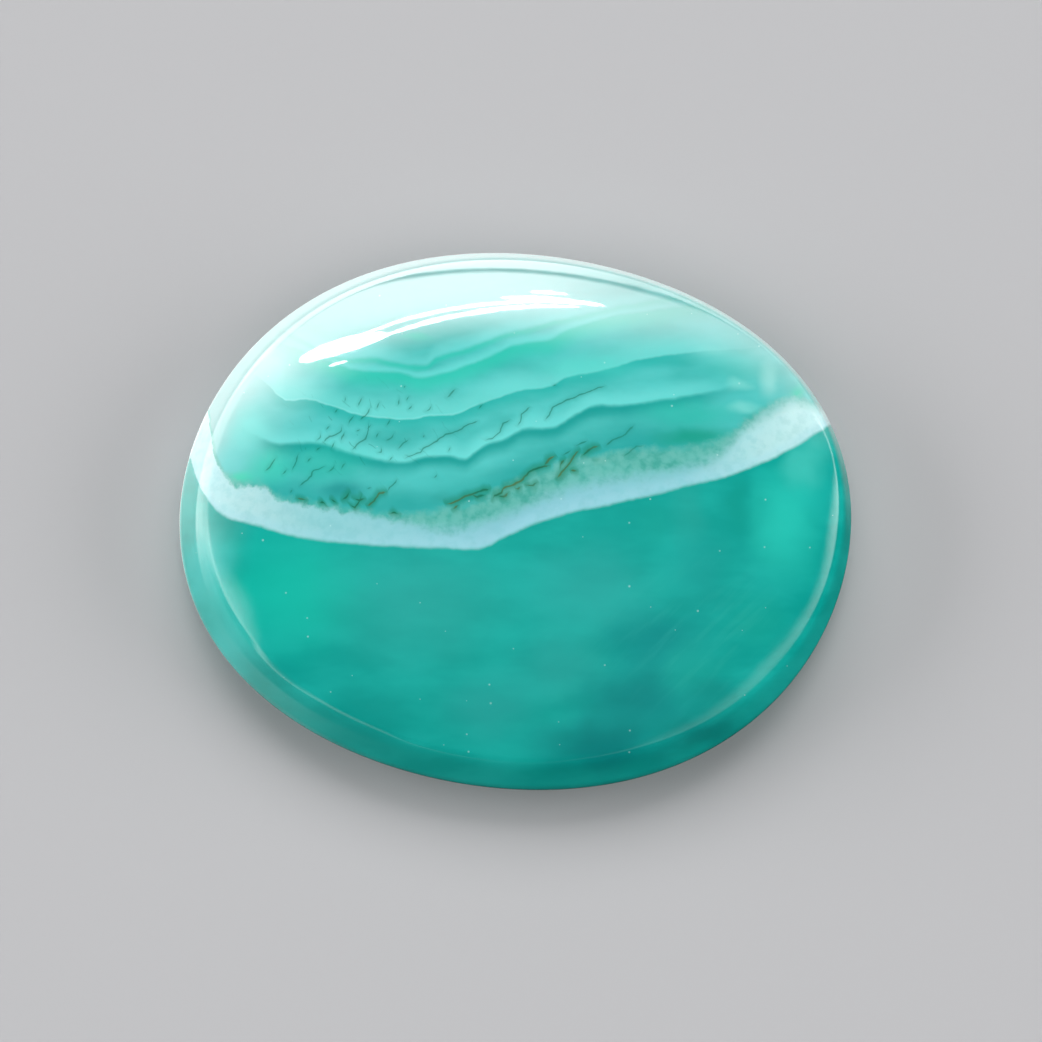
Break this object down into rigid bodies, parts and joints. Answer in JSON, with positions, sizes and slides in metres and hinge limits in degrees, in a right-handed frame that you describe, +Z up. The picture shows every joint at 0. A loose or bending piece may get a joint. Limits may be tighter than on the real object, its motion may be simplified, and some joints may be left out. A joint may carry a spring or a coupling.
{
  "type": "agate cabochon",
  "caption": "Polished oval agate cabochon with a low dome, a rounded shoulder and a flat back, teal with a white layer; rests on its back or sits in a bezel.",
  "frame": {"origin": "on the flat back, under the middle of the outline", "axes": "+X along the oval's length, +Y across its width, +Z up through the dome"},
  "size_m": [0.023, 0.0192, 0.0047],
  "materials": {
    "polished_agate": "high polish, translucent teal chalcedony with a white layer"
  },
  "bodies": {
    "root": {"agate": "polished_agate"}
  },
  "joints": []
}
